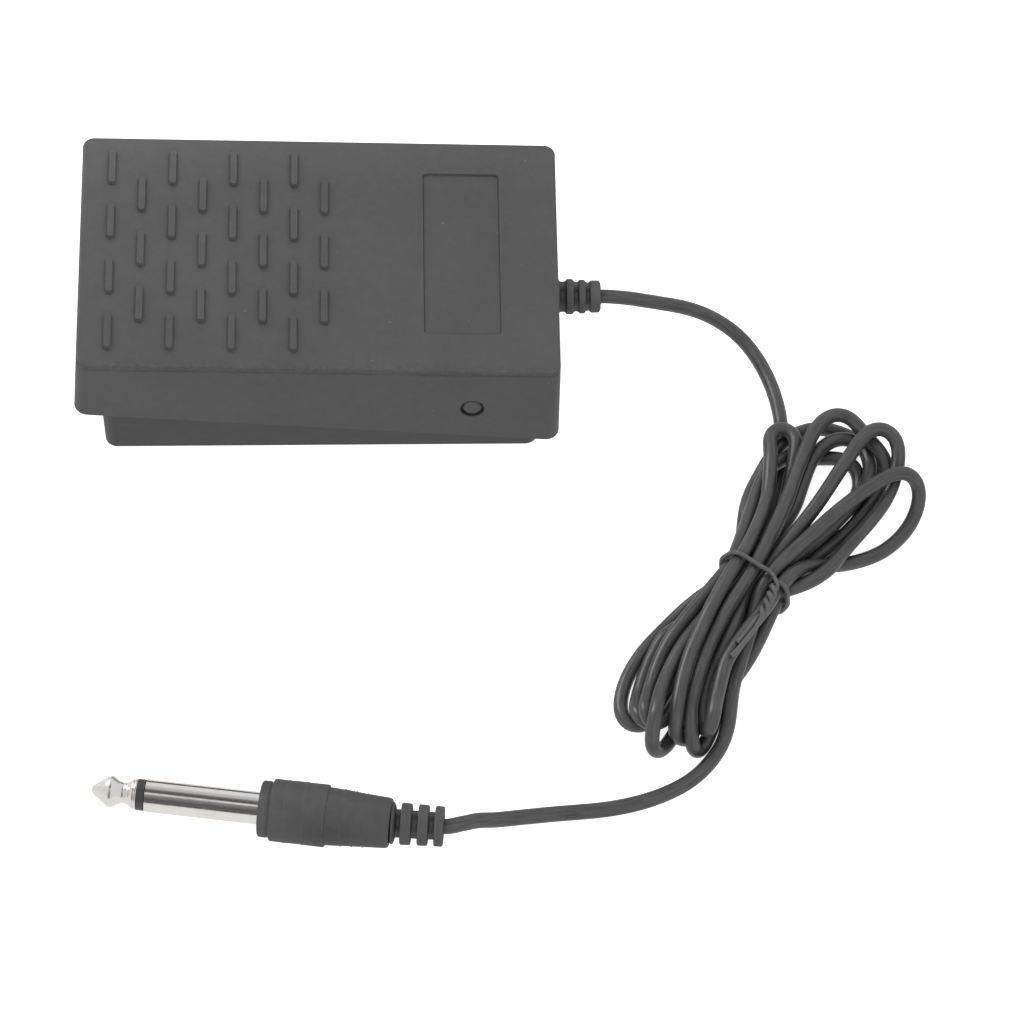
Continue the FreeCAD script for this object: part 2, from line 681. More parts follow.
def build_boot():
    """Inner flange, neck in the wall slot and grooved outer part, as (x, radius)."""
    bore = dim.grip_bore
    turn(new_body("strain_relief_boot", 0, 0, dim.cable_z), [
        (42.4, bore), (42.4, 4.9), (43.4, 4.9), (43.4, 3.6), (46.3, 3.6), (46.3, 4.3),
        (47.2, 4.3), (47.2, 3.3), (48.6, 3.3), (48.6, 4.05), (48.75, 4.17), (49.75, 4.17),
        (49.9, 4.05), (50.25, 3.35), (50.6, 3.24), (51.15, 3.24), (51.55, 3.55), (51.75, 3.72),
        (52.85, 3.72), (53.05, 3.55), (53.35, 3.2), (53.8, 3.15), (54.15, 3.4), (54.35, 3.55),
        (55.35, 3.55), (55.55, 3.4), (55.85, 3.05), (56.25, 3.02), (56.55, 3.25), (56.8, 3.4),
        (58.45, 3.4), (58.65, 3.25), (58.8, 2.5), (58.8, bore)])


# ---- inside leads and their solder; knots are x, y, z ----
SIGNAL_KNOTS = [
    (29.93, -0.75, 16.55), (29.1, -0.76, 16.54), (27.2, -1.3, 15.6), (24.5, -4.5, 10.5),
    (20.0, -8.2, 5.6), (8.0, -8.6, 4.6), (-6.0, -8.4, 5.0), (-11.6, -7.4, 7.4),
    (-13.6, -5.3, 9.1), (-12.9, -3.6, 9.75), (-11.2, -2.9, 9.66)]
GROUND_KNOTS = [
    (29.93, 0.75, 16.55), (29.1, 0.76, 16.54), (27.2, 1.3, 15.6), (24.5, 4.5, 10.5),
    (20.0, 8.2, 5.6), (8.0, 8.6, 4.6), (-6.0, 8.4, 5.6), (-11.6, 7.6, 9.8),
    (-13.9, 5.4, 12.5), (-12.9, 3.7, 13.45), (-11.2, 2.9, 13.34)]


def solder_blob(lead, lead_r, z):
    """Cap of a sphere on a terminal at height z, bored for the end of its lead."""
    end = lead[-1]
    along = end - lead[-2]
    along.normalize()
    blob = Part.makeSphere(1.25, Vector(end.x + 0.4, end.y, z + 0.25))
    blob = blob.common(Part.makeBox(4, 4, 3, Vector(end.x - 1.6, end.y - 2, z)))
    blob = blob.cut(Part.makeCylinder(lead_r + 0.02, 4.0, end - along * 3.98, along))
    return max(blob.Solids, key=lambda solid: solid.Volume)


def build_leads():
    lead_r = 0.6
    blobs = []
    for name, knots, z in (("signal_lead", SIGNAL_KNOTS, upper_z),
                           ("ground_lead", GROUND_KNOTS, plate_z)):
        lead = smooth(knots, 0.9)
        shape_piece(name, rod(lead, lead_r, 30))
        blobs.append(solder_blob(lead, lead_r, z))
    shape_piece("solder_joints", Part.makeCompound(blobs))


# ---- plug, lying on the floor; profiles are (distance from the tip, radius) ----
PLUG_X, PLUG_Y = -45.32, -117.87
PLUG_TURN = Rotation(Vector(0, 0, 1), math.degrees(math.atan2(-8.8, 59.7)))


def plug_body(name):
    return new_body(name, PLUG_X, PLUG_Y, dim.plug_z, PLUG_TURN)


def build_plug_contacts():
    tip, core = dim.tip_len, dim.core_r
    turn(plug_body("plug_tip"), [
        (-0.1, 0), (-0.1, 0.35), (0, 0.62), (0.3, 1.0), (0.6, 1.22), (2.6, 2.64), (3.0, 2.86),
        (3.4, 3.02), (3.85, 3.1), (4.2, 3.03), (4.65, 2.83), (5.45, 2.33), (5.85, 2.14),
        (6.25, 2.06), (6.65, 2.08), (7.1, 2.2), (7.9, 2.82), (8.3, 3.02), (tip, 3.06),
        (tip, core), (39.0, core), (39.0, 1.6), (39.6, 1.6), (39.6, 0.6), (44.0, 0.6), (44.0, 0)])
    bore = core + 0.02
    start, end = tip + 0.01, tip + dim.ring_len - 0.01
    turn(plug_body("plug_tip_insulator"), [(start, bore), (start, 3.0), (end, 3.0), (end, bore)])
    start = tip + dim.ring_len + 0.01
    turn(plug_body("plug_core_tube"), [
        (start, bore), (start, 1.85), (37.6, 1.85), (37.6, 2.2), (38.9, 2.2), (38.9, bore)])
    r, shank = dim.shank_r, dim.shank_end
    sleeve = plug_body("plug_sleeve")
    turn(sleeve, [
        (start, 1.88), (start, r - 0.2), (start + 0.2, r), (shank + 0.1, r), (shank + 0.1, 4.2),
        (shank + 1.6, 4.2), (shank + 1.6, 3.0), (37.5, 3.0), (37.5, 1.88)])
    # tail of the sleeve that holds the braid wire
    pad(rectangle(sketch(sleeve, "XY", -2.9), 36.5, 45.5, -1.3, 1.3), 0.6)


def build_plug_grip():
    r, shank, end = dim.grip_r, dim.shank_end, dim.grip_end
    # distances here start at the end of the shank
    outside = [(0, 3.25), (0, 5.45), (0.25, 5.7), (1.85, 5.7), (2.05, 5.5), (2.25, 5.5),
               (2.45, r - 0.12), (2.75, r)]
    for x in (5.35, 9.1):
        outside += [(x - 0.22, r), (x - 0.1, r + 0.09), (x + 0.1, r + 0.09), (x + 0.22, r)]
    outside += [(13.3, r), (13.5, r - 0.15), (13.58, 5.86)]
    for x, ring_r in ((16.6, 5.66), (18.9, 5.48), (21.1, 5.32)):
        outside += [(x - 0.2, ring_r + 0.015), (x - 0.08, ring_r + 0.13),
                    (x + 0.1, ring_r + 0.12), (x + 0.2, ring_r - 0.015)]
    mouth = [(end - 0.7, 5.1), (end, 4.6), (end, 1.9), (end - 6.6, 1.9), (end - 6.6, 3.3)]
    inside = [(8.0, 3.3), (1.7, 4.25), (0.05, 4.25), (0.05, 3.25)]
    turn(plug_body("plug_grip"), [(shank + x, y) for x, y in outside] + mouth
         + [(shank + x, y) for x, y in inside])


def build_plug_relief():
    """Grooved relief on the slightly different line the cable leaves by."""
    bore = dim.grip_bore
    turned = Rotation(Vector(0, 0, 1), math.degrees(math.atan2(-1.0, 10.5)))
    turn(new_body("plug_strain_relief", 14.1, -126.55, dim.plug_z, turned), [
        (0.3, bore), (0.3, 4.1), (0.4, 4.2), (0.55, 4.18), (0.75, 3.7), (1.0, 2.8), (1.93, 2.8),
        (2.0, 4.05), (2.2, 4.22), (3.9, 4.17), (4.05, 4.0), (4.12, 2.8), (5.35, 2.8),
        (5.42, 3.95), (5.62, 4.12), (7.3, 4.08), (7.45, 3.92), (7.52, 2.77), (8.68, 2.75),
        (8.75, 3.87), (8.95, 4.05), (10.3, 4.02), (10.46, 3.85), (10.55, bore)])


def build_conductor(name, side, plug_knots):
    """Wire from the cable's end to knots given in the plug's frame."""
    along = CABLE[-1] - CABLE[-2]
    along.normalize()
    across = Vector(-along.y, along.x, 0) * side
    knots = [CABLE[-1] + across * 0.62 + along * 0.03, CABLE[-1] + across * 0.75 + along * 1.5]
    origin = Vector(PLUG_X, PLUG_Y, dim.plug_z)
    knots += [origin + PLUG_TURN.multVec(Vector(*knot)) for knot in plug_knots]
    shape_piece(name, rod(smooth(knots, 0.5), 0.5, 30))


# ---- centre lines of the cable, pedal to plug, and of the tie: each entry is x,y,z ----
def read_points(table):
    return [Vector(*map(float, entry.split(","))) for entry in table.split()]


CABLE = read_points("""
30,0,16.55 31.601,0,16.55 33.101,0,16.55 34.602,0,16.55
36.102,0,16.55 37.603,0,16.55 39.103,0,16.55 40.604,0,16.55
42.104,0,16.55 43.605,0,16.55 45.105,0,16.55 46.606,0,16.55
48.106,0,16.55 49.607,0,16.55 51.107,0,16.55 52.608,0,16.55
54.108,0,16.55 55.609,0,16.55 57.109,0,16.55 58.608,0,16.55
60.098,0.001,16.525 61.583,0.013,16.362 63.067,0.041,16.11 64.548,0.086,15.832
66.025,0.146,15.448 67.496,0.225,14.954 68.954,0.345,14.446 70.395,0.505,13.895
71.815,0.689,13.278 73.208,0.877,12.701 74.575,1.075,12.083 75.915,1.271,11.412
77.23,1.451,10.694 78.523,1.598,9.937 79.797,1.693,9.15 81.057,1.718,8.341
82.305,1.651,7.523 83.544,1.471,6.709 84.77,1.174,5.913 85.976,0.744,5.153
87.151,0.169,4.444 88.277,-0.571,3.801 89.339,-1.508,3.237 90.319,-2.604,2.759
91.208,-3.821,2.372 92.002,-5.124,2.074 92.703,-6.482,1.859 93.319,-7.875,1.715
93.86,-9.286,1.628 94.334,-10.709,1.581 94.751,-12.136,1.559 95.117,-13.565,1.552
95.438,-14.995,1.55 95.715,-16.427,1.55 95.95,-17.864,1.55 96.14,-19.304,1.55
96.286,-20.746,1.55 96.386,-22.188,1.55 96.442,-23.629,1.55 96.46,-25.068,1.55
96.449,-26.503,1.55 96.418,-27.935,1.55 96.374,-29.362,1.55 96.311,-30.785,1.55
96.154,-32.197,1.55 95.949,-33.601,1.55 95.712,-34.995,1.55 95.449,-36.383,1.55
95.174,-37.764,1.55 94.899,-39.143,1.55 94.623,-40.518,1.55 94.33,-41.887,1.55
94.016,-43.249,1.555 93.773,-44.622,1.59 93.755,-46.013,1.567 93.737,-47.403,1.55
93.377,-48.736,1.672 92.847,-49.988,1.934 92.25,-51.186,2.28 91.625,-52.35,2.677
90.997,-53.498,3.112 90.402,-54.646,3.583 89.842,-55.798,4.081 89.282,-56.945,4.587
88.699,-58.087,5.078 88.065,-59.223,5.509 87.381,-60.357,5.859 86.665,-61.494,6.123
85.932,-62.637,6.298 85.192,-63.784,6.409 84.436,-64.924,6.471 83.697,-66.073,6.51
82.897,-67.18,6.497 81.76,-67.99,6.324 80.58,-68.709,6.085 79.396,-69.419,5.811
78.231,-70.152,5.514 77.095,-70.924,5.202 75.99,-71.74,4.886 74.917,-72.601,4.578
73.874,-73.504,4.285 72.858,-74.448,4.018 71.866,-75.425,3.782 70.892,-76.43,3.582
69.931,-77.455,3.415 68.977,-78.493,3.277 68.037,-79.546,3.157 67.118,-80.62,3.039
66.234,-81.723,2.913 65.396,-82.861,2.776 64.604,-84.031,2.624 63.862,-85.232,2.458
63.176,-86.466,2.286 62.555,-87.734,2.118 62.005,-89.038,1.963 61.535,-90.374,1.829
61.155,-91.741,1.722 60.878,-93.135,1.643 60.729,-94.549,1.592 60.753,-95.971,1.564
61.03,-97.366,1.552 61.675,-98.632,1.55 62.761,-99.547,1.55 64.151,-99.84,1.55
65.527,-99.481,1.55 66.698,-98.673,1.55 67.664,-97.625,1.55 68.488,-96.461,1.55
69.225,-95.24,1.55 69.915,-93.989,1.55 70.58,-92.725,1.55 71.236,-91.456,1.55
71.889,-90.184,1.55 72.54,-88.911,1.55 73.185,-87.634,1.55 73.83,-86.358,1.55
74.494,-85.091,1.55 75.22,-83.858,1.55 76.037,-82.684,1.55 76.928,-81.566,1.55
77.856,-80.478,1.55 78.811,-79.412,1.55 79.79,-78.37,1.55 80.811,-77.369,1.55
81.923,-76.472,1.55 83.137,-75.715,1.55 84.404,-75.052,1.55 85.669,-74.398,1.683
86.879,-73.685,1.957 87.982,-72.842,2.244 88.965,-71.865,2.529 89.852,-70.783,2.71
90.721,-69.678,2.71 91.651,-68.629,2.604 92.721,-67.731,2.321 93.867,-66.924,2.056
95.055,-66.162,1.843 96.261,-65.413,1.685 97.473,-64.66,1.586 98.678,-63.889,1.55
99.861,-63.083,1.55 101.01,-62.225,1.55 102.128,-61.327,1.55 103.218,-60.392,1.55
104.273,-59.416,1.55 105.28,-58.388,1.55 106.214,-57.291,1.55 107.037,-56.105,1.55
107.718,-54.83,1.55 108.34,-53.523,1.55 108.977,-52.221,1.55 109.653,-50.936,1.55
110.366,-49.669,1.55 111.107,-48.416,1.55 111.864,-47.169,1.55 112.623,-45.923,1.55
113.372,-44.667,1.55 114.095,-43.395,1.55 114.772,-42.095,1.55 115.374,-40.757,1.55
115.865,-39.372,1.551 116.206,-37.942,1.56 116.361,-36.478,1.584 116.302,-35.005,1.631
116.019,-33.558,1.704 115.522,-32.169,1.796 114.83,-30.864,1.898 113.969,-29.662,1.998
112.965,-28.574,2.09 111.841,-27.607,2.176 110.615,-26.771,2.266 109.301,-26.079,2.375
107.914,-25.554,2.518 106.47,-25.23,2.702 104.996,-25.144,2.928 103.534,-25.32,3.188
102.13,-25.754,3.472 100.816,-26.407,3.77 99.594,-27.223,4.07 98.447,-28.146,4.354
97.348,-29.14,4.595 96.277,-30.187,4.72 95.259,-31.281,4.561 94.329,-32.397,4.169
93.47,-33.551,3.728 92.69,-34.782,3.344 91.955,-36.063,3.041 91.243,-37.375,2.823
90.559,-38.714,2.691 89.918,-40.081,2.633 89.342,-41.478,2.635 88.842,-42.905,2.678
88.423,-44.358,2.74 88.081,-45.833,2.8 87.809,-47.324,2.837 87.589,-48.825,2.847
87.4,-50.331,2.837 87.228,-51.84,2.813 87.067,-53.352,2.782 86.914,-54.865,2.746
86.769,-56.381,2.713 86.641,-57.898,2.7 86.552,-59.419,2.745 86.496,-60.937,2.872
86.443,-62.446,3.087 86.337,-63.928,3.4 86.058,-65.378,3.785 85.304,-66.63,3.836
84.48,-67.84,3.845 83.517,-68.952,3.83 82.495,-70.01,3.877 81.444,-71.039,3.975
80.378,-72.047,4.126 79.297,-73.032,4.326 78.191,-73.986,4.547 77.059,-74.91,4.772
75.904,-75.808,4.988 74.732,-76.691,5.185 73.552,-77.571,5.351 72.377,-78.466,5.474
71.233,-79.407,5.536 70.164,-80.436,5.5 69.246,-81.586,5.298 68.498,-82.818,4.933
67.808,-84.064,4.504 67.145,-85.332,4.094 66.531,-86.644,3.744 65.973,-87.995,3.456
65.472,-89.381,3.233 65.029,-90.798,3.088 64.638,-92.238,3.046 64.294,-93.687,3.145
63.996,-95.125,3.415 63.775,-96.538,3.843 63.722,-97.946,4.339 64.019,-99.36,4.713
64.876,-100.579,4.652 66.211,-101.128,4.274 67.618,-100.862,3.85 68.843,-100.037,3.61
69.84,-98.921,3.551 70.662,-97.668,3.576 71.387,-96.354,3.616 72.078,-95.021,3.636
72.77,-93.687,3.628 73.475,-92.359,3.602 74.187,-91.033,3.571 74.888,-89.7,3.553
75.556,-88.35,3.57 76.17,-86.976,3.647 76.735,-85.587,3.806 77.285,-84.204,4.051
77.824,-82.825,4.339 78.355,-81.447,4.655 78.882,-80.072,4.988 79.414,-78.7,5.328
79.976,-77.337,5.659 80.594,-75.993,5.961 81.285,-74.675,6.22 82.046,-73.387,6.427
82.864,-72.124,6.562 83.757,-70.908,6.612 84.748,-69.771,6.605 85.813,-68.703,6.544
86.912,-67.677,6.431 88.046,-66.69,6.307 89.22,-65.752,6.195 90.419,-64.85,6.045
91.599,-63.946,5.802 92.756,-63.03,5.503 93.905,-62.107,5.195 95.05,-61.177,4.894
96.19,-60.24,4.607 97.327,-59.295,4.336 98.46,-58.339,4.086 99.585,-57.37,3.859
100.701,-56.385,3.662 101.801,-55.378,3.501 102.878,-54.341,3.388 103.916,-53.26,3.334
104.895,-52.124,3.342 105.82,-50.946,3.37 106.725,-49.751,3.372 107.618,-48.549,3.337
108.492,-47.334,3.279 109.334,-46.098,3.214 110.128,-44.83,3.154 110.841,-43.515,3.107
111.414,-42.132,3.093 111.771,-40.68,3.134 111.857,-39.193,3.26 111.658,-37.729,3.492
111.108,-36.361,3.738 110.191,-35.192,3.9 108.978,-34.32,3.933 107.586,-33.784,3.851
106.118,-33.536,3.721 104.628,-33.472,3.631 103.136,-33.482,3.655 101.65,-33.511,3.799
100.179,-33.58,4.039 98.733,-33.775,4.351 97.353,-34.199,4.727 96.1,-34.898,5.134
94.965,-35.815,5.437 93.913,-36.864,5.568 93.004,-38.044,5.613 92.234,-39.321,5.63
91.578,-40.66,5.646 91.01,-42.038,5.664 90.505,-43.442,5.685 90.047,-44.86,5.723
89.623,-46.288,5.807 89.221,-47.715,5.97 88.827,-49.135,6.201 88.436,-50.548,6.479
88.045,-51.955,6.787 87.653,-53.357,7.117 87.259,-54.755,7.462 86.864,-56.15,7.817
86.467,-57.544,8.179 86.069,-58.937,8.543 85.669,-60.331,8.901 85.267,-61.732,9.232
84.864,-63.149,9.464 84.434,-64.575,9.577 83.661,-65.827,9.634 82.856,-67.061,9.618
81.98,-68.246,9.54 81.087,-69.417,9.431 80.19,-70.584,9.31 79.292,-71.749,9.186
78.394,-72.915,9.059 77.497,-74.082,8.93 76.603,-75.251,8.798 75.711,-76.421,8.661
74.824,-77.594,8.519 73.944,-78.771,8.369 73.074,-79.954,8.207 72.222,-81.147,8.026
71.402,-82.357,7.814 70.636,-83.593,7.559 69.937,-84.861,7.268 69.299,-86.159,6.969
68.713,-87.484,6.686 68.175,-88.835,6.436 67.684,-90.212,6.238 67.238,-91.613,6.114
66.836,-93.032,6.096 66.475,-94.456,6.219 66.151,-95.864,6.507 65.857,-97.242,6.938
65.599,-98.611,7.416 65.447,-100.035,7.757 65.602,-101.495,7.683 66.382,-102.619,7.152
67.748,-102.806,6.65 68.987,-102.054,6.417 69.951,-100.944,6.418 70.75,-99.714,6.508
71.464,-98.432,6.596 72.143,-97.13,6.646 72.814,-95.823,6.654 73.49,-94.519,6.634
74.172,-93.218,6.602 74.849,-91.915,6.573 75.509,-90.604,6.56 76.172,-89.294,6.564
76.908,-88.025,6.569 77.774,-86.84,6.544 78.71,-85.714,6.452 79.682,-84.629,6.27
80.713,-83.599,6.097 81.791,-82.611,5.976 82.889,-81.637,5.919 83.939,-80.612,5.897
84.872,-79.479,5.888 85.674,-78.249,5.874 86.414,-76.98,5.881 87.152,-75.71,5.937
87.908,-74.452,6.028 88.676,-73.202,6.132 89.467,-71.966,6.237 90.303,-70.759,6.327
91.158,-69.565,6.439 92.041,-68.394,6.56 92.953,-67.243,6.678 93.878,-66.102,6.8
94.813,-64.97,6.924 95.761,-63.846,7.04 96.729,-62.736,7.131 97.724,-61.647,7.179
98.748,-60.582,7.171 99.786,-59.533,7.123 100.825,-58.482,7.063 101.856,-57.425,6.999
102.876,-56.356,6.929 103.877,-55.27,6.851 104.85,-54.16,6.762 105.787,-53.02,6.654
106.696,-51.858,6.529 107.59,-50.686,6.403 108.478,-49.507,6.289 109.354,-48.319,6.19
110.211,-47.115,6.106 111.032,-45.887,6.031 111.801,-44.625,5.963 112.497,-43.322,5.897
113.1,-41.974,5.83 113.587,-40.58,5.753 113.925,-39.146,5.648 114.081,-37.685,5.499
114.061,-36.217,5.345 113.864,-34.759,5.228 113.463,-33.34,5.19 112.788,-32.031,5.236
111.787,-30.958,5.368 110.492,-30.29,5.577 109.05,-30.14,5.836 107.645,-30.482,6.111
106.378,-31.185,6.376 105.259,-32.114,6.604 104.26,-33.183,6.767 103.359,-34.344,6.846
102.556,-35.577,6.873 101.862,-36.874,6.888 101.277,-38.223,6.926 100.783,-39.606,6.994
100.338,-41.004,7.079 99.898,-42.404,7.162 99.461,-43.805,7.232 99.032,-45.208,7.286
98.607,-46.613,7.32 98.151,-48.009,7.337 97.608,-49.372,7.354 96.978,-50.697,7.385
96.291,-51.993,7.433 95.567,-53.267,7.498 94.815,-54.524,7.58 94.043,-55.768,7.683
93.256,-57.001,7.805 92.458,-58.224,7.947 91.651,-59.44,8.109 90.838,-60.649,8.29
90.021,-61.854,8.491 89.205,-63.056,8.71 88.39,-64.257,8.946 87.582,-65.46,9.192
86.787,-66.675,9.43 86.005,-67.907,9.621 85.206,-69.137,9.718 84.36,-70.339,9.751
83.49,-71.525,9.729 82.607,-72.701,9.676 81.721,-73.875,9.62 80.833,-75.05,9.568
79.946,-76.226,9.523 79.062,-77.405,9.484 78.183,-78.589,9.452 77.311,-79.779,9.43
76.451,-80.979,9.421 75.607,-82.191,9.422 74.785,-83.418,9.426 73.989,-84.664,9.42
73.233,-85.935,9.39 72.53,-87.236,9.333 71.871,-88.56,9.264 71.249,-89.902,9.204
70.663,-91.262,9.171 70.112,-92.638,9.179 69.6,-94.027,9.239 69.129,-95.428,9.359
68.703,-96.837,9.54 68.327,-98.252,9.773 68,-99.677,10.023 67.71,-101.119,10.22
67.436,-102.576,10.247 67.149,-103.995,9.928 66.861,-105.246,9.184 66.64,-106.263,8.129
66.548,-107.013,6.853 66.661,-107.451,5.441 67.059,-107.493,4.014 67.758,-107.058,2.781
68.64,-106.183,1.972 69.526,-105.046,1.619 70.331,-103.8,1.55 71.066,-102.508,1.55
71.76,-101.193,1.55 72.414,-99.857,1.55 73.044,-98.509,1.55 73.677,-97.162,1.55
74.337,-95.827,1.55 75.033,-94.51,1.55 75.754,-93.207,1.55 76.479,-91.906,1.55
77.183,-90.593,1.552 77.847,-89.261,1.584 78.46,-87.907,1.686 79.036,-86.546,1.867
79.595,-85.189,2.118 80.146,-83.839,2.418 80.69,-82.495,2.754 81.235,-81.16,3.12
81.798,-79.845,3.53 82.402,-78.569,3.998 83.026,-77.282,4.398 83.679,-75.971,4.642
84.349,-74.649,4.702 85.007,-73.323,4.603 85.671,-72.018,4.365 86.369,-70.745,4.053
87.121,-69.502,3.745 87.931,-68.295,3.451 88.637,-67.019,3.193 89.235,-65.679,3.027
89.789,-64.31,2.99 90.349,-62.947,3.078 90.918,-61.594,3.234 91.485,-60.244,3.416
92.047,-58.895,3.611 92.602,-57.546,3.813 93.141,-56.192,4.019 93.643,-54.825,4.223
94.092,-53.44,4.419 94.517,-52.048,4.613 94.925,-50.653,4.805 95.317,-49.254,4.99
95.69,-47.849,5.158 96.042,-46.438,5.299 96.376,-45.024,5.427 96.696,-43.609,5.568
97.005,-42.198,5.754 97.311,-40.799,6.007 97.626,-39.42,6.334 97.951,-38.06,6.72
98.265,-36.704,7.12 98.539,-35.328,7.473 98.723,-33.912,7.698 98.744,-32.472,7.785
98.488,-31.054,7.796 97.787,-29.798,7.796 96.562,-29.051,7.84 95.14,-29.21,7.941
94.084,-30.17,8.066 93.546,-31.491,8.194 93.357,-32.902,8.332 93.319,-34.321,8.491
93.309,-35.739,8.652 93.271,-37.158,8.767 93.196,-38.578,8.786 93.09,-39.993,8.709
92.961,-41.401,8.593 92.813,-42.807,8.499 92.654,-44.212,8.452 92.481,-45.615,8.444
92.266,-47.01,8.477 91.975,-48.386,8.585 91.632,-49.743,8.753 91.256,-51.084,8.965
90.856,-52.412,9.209 90.438,-53.728,9.476 90.006,-55.036,9.762 89.562,-56.335,10.064
89.106,-57.628,10.379 88.64,-58.914,10.704 88.163,-60.194,11.037 87.674,-61.468,11.374
87.163,-62.737,11.703 86.606,-63.996,11.991 85.992,-65.242,12.217 85.344,-66.478,12.401
84.684,-67.713,12.563 84.025,-68.953,12.69 83.373,-70.202,12.765 82.73,-71.458,12.792
82.091,-72.719,12.782 81.453,-73.98,12.751 80.816,-75.243,12.705 80.183,-76.509,12.645
79.567,-77.783,12.565 78.979,-79.07,12.458 78.41,-80.365,12.323 77.845,-81.661,12.167
77.275,-82.953,11.993 76.7,-84.244,11.807 76.127,-85.537,11.615 75.567,-86.836,11.42
75.037,-88.15,11.223 74.552,-89.482,11.024 74.109,-90.833,10.832 73.702,-92.198,10.655
73.322,-93.574,10.494 72.965,-94.959,10.343 72.633,-96.352,10.189 72.329,-97.75,10.012
72.054,-99.149,9.789 71.81,-100.539,9.478 71.597,-101.892,9.015 71.426,-103.14,8.304
71.315,-104.12,7.244 71.442,-104.718,5.93 71.965,-104.904,4.59 72.803,-104.644,3.434
73.717,-103.941,2.549 74.536,-102.887,1.971 75.218,-101.628,1.701 75.799,-100.29,1.697
76.339,-98.947,1.893 76.881,-97.625,2.205 77.443,-96.318,2.551 78.025,-95.01,2.87
78.618,-93.692,3.128 79.214,-92.363,3.316 79.817,-91.026,3.435 80.448,-89.696,3.481
81.128,-88.389,3.464 81.829,-87.091,3.424 82.547,-85.802,3.367 83.294,-84.529,3.302
84.078,-83.277,3.238 84.9,-82.047,3.18 85.757,-80.84,3.143 86.638,-79.649,3.152
87.524,-78.463,3.231 88.403,-77.277,3.377 89.277,-76.092,3.569 90.153,-74.911,3.787
91.03,-73.734,4.017 91.903,-72.551,4.245 92.781,-71.359,4.368 93.652,-70.159,4.459
94.568,-68.99,4.545 95.48,-67.818,4.646 96.373,-66.629,4.711 97.25,-65.425,4.731
98.111,-64.209,4.705 98.968,-62.994,4.625 99.875,-61.817,4.514 100.921,-60.759,4.464
102.031,-59.766,4.463 103.157,-58.791,4.487 104.283,-57.815,4.529 105.397,-56.826,4.584
106.487,-55.812,4.644 107.535,-54.753,4.69 108.534,-53.646,4.689 109.492,-52.505,4.647
110.421,-51.341,4.587 111.327,-50.161,4.521 112.215,-48.966,4.459 113.084,-47.759,4.41
113.935,-46.538,4.384 114.765,-45.304,4.393 115.563,-44.051,4.458 116.303,-42.771,4.602
116.937,-41.452,4.851 117.389,-40.09,5.227 117.575,-38.707,5.726 117.434,-37.353,6.31
116.971,-36.08,6.907 116.259,-34.897,7.439 115.394,-33.769,7.852 114.48,-32.641,8.131
113.603,-31.464,8.304 112.793,-30.233,8.413 112.011,-28.983,8.499 111.145,-27.793,8.596
110.062,-26.8,8.714 108.717,-26.215,8.846 107.25,-26.215,8.965 105.89,-26.77,9.056
104.752,-27.701,9.127 103.823,-28.839,9.2 103.046,-30.085,9.293 102.377,-31.389,9.411
101.787,-32.728,9.55 101.251,-34.089,9.687 100.741,-35.461,9.797 100.231,-36.836,9.862
99.715,-38.208,9.886 99.2,-39.581,9.89 98.7,-40.958,9.897 98.226,-42.343,9.922
97.785,-43.737,9.965 97.37,-45.139,10.018 96.968,-46.543,10.072 96.55,-47.941,10.131
96.094,-49.325,10.211 95.608,-50.697,10.316 95.101,-52.058,10.441 94.58,-53.411,10.581
94.052,-54.761,10.726 93.517,-56.107,10.87 92.978,-57.451,11.011 92.432,-58.792,11.146
91.881,-60.131,11.275 91.323,-61.467,11.395 90.757,-62.8,11.506 90.182,-64.13,11.608
89.597,-65.455,11.699 88.999,-66.774,11.78 88.381,-68.084,11.843 87.722,-69.375,11.864
87.009,-70.637,11.83 86.265,-71.878,11.764 85.51,-73.113,11.689 84.754,-74.345,11.611
84.002,-75.58,11.527 83.266,-76.822,11.42 82.565,-78.079,11.264 81.901,-79.348,11.06
81.262,-80.625,10.827 80.644,-81.909,10.581 80.036,-83.2,10.342 79.439,-84.497,10.115
78.854,-85.803,9.909 78.292,-87.123,9.729 77.768,-88.463,9.585 77.305,-89.827,9.47
76.888,-91.207,9.352 76.49,-92.588,9.202 76.088,-93.963,9.008 75.678,-95.329,8.771
75.276,-96.693,8.508 74.919,-98.069,8.244 74.647,-99.468,7.998 74.49,-100.887,7.771
74.443,-102.314,7.535 74.472,-103.725,7.22 74.521,-105.077,6.706 74.599,-106.241,5.851
74.81,-107.024,4.654 75.288,-107.2,3.302 76.018,-106.655,2.18 76.816,-105.587,1.621
77.519,-104.324,1.55 78.12,-103.006,1.55 78.665,-101.665,1.55 79.185,-100.313,1.55
79.691,-98.956,1.55 80.176,-97.591,1.55 80.638,-96.217,1.55 81.097,-94.843,1.55
81.576,-93.475,1.55 82.089,-92.119,1.55 82.671,-90.791,1.55 83.401,-89.54,1.622
84.229,-88.369,1.839 85.079,-87.238,2.165 85.912,-86.117,2.563 86.712,-84.988,3.006
87.471,-83.841,3.474 88.188,-82.67,3.951 88.864,-81.473,4.427 89.508,-80.255,4.893
90.131,-79.021,5.348 90.742,-77.776,5.79 91.347,-76.521,6.217 91.956,-75.261,6.617
92.592,-73.998,6.965 93.324,-72.765,7.191 94.119,-71.56,7.309 95.056,-70.456,7.314
96.439,-69.788,7.216 97.857,-69.203,7.201 99.265,-68.581,7.266 100.63,-67.875,7.389
101.932,-67.066,7.536 103.152,-66.136,7.664 104.25,-65.06,7.715 105.192,-63.845,7.636
106.025,-62.566,7.441 106.814,-61.27,7.184 107.613,-59.98,6.929 108.441,-58.705,6.702
109.306,-57.447,6.518 110.2,-56.206,6.382 111.113,-54.975,6.291 112.033,-53.748,6.241
112.948,-52.518,6.229 113.849,-51.28,6.252 114.726,-50.026,6.309 115.568,-48.753,6.4
116.363,-47.454,6.526 117.097,-46.125,6.69 117.759,-44.766,6.897 118.339,-43.38,7.152
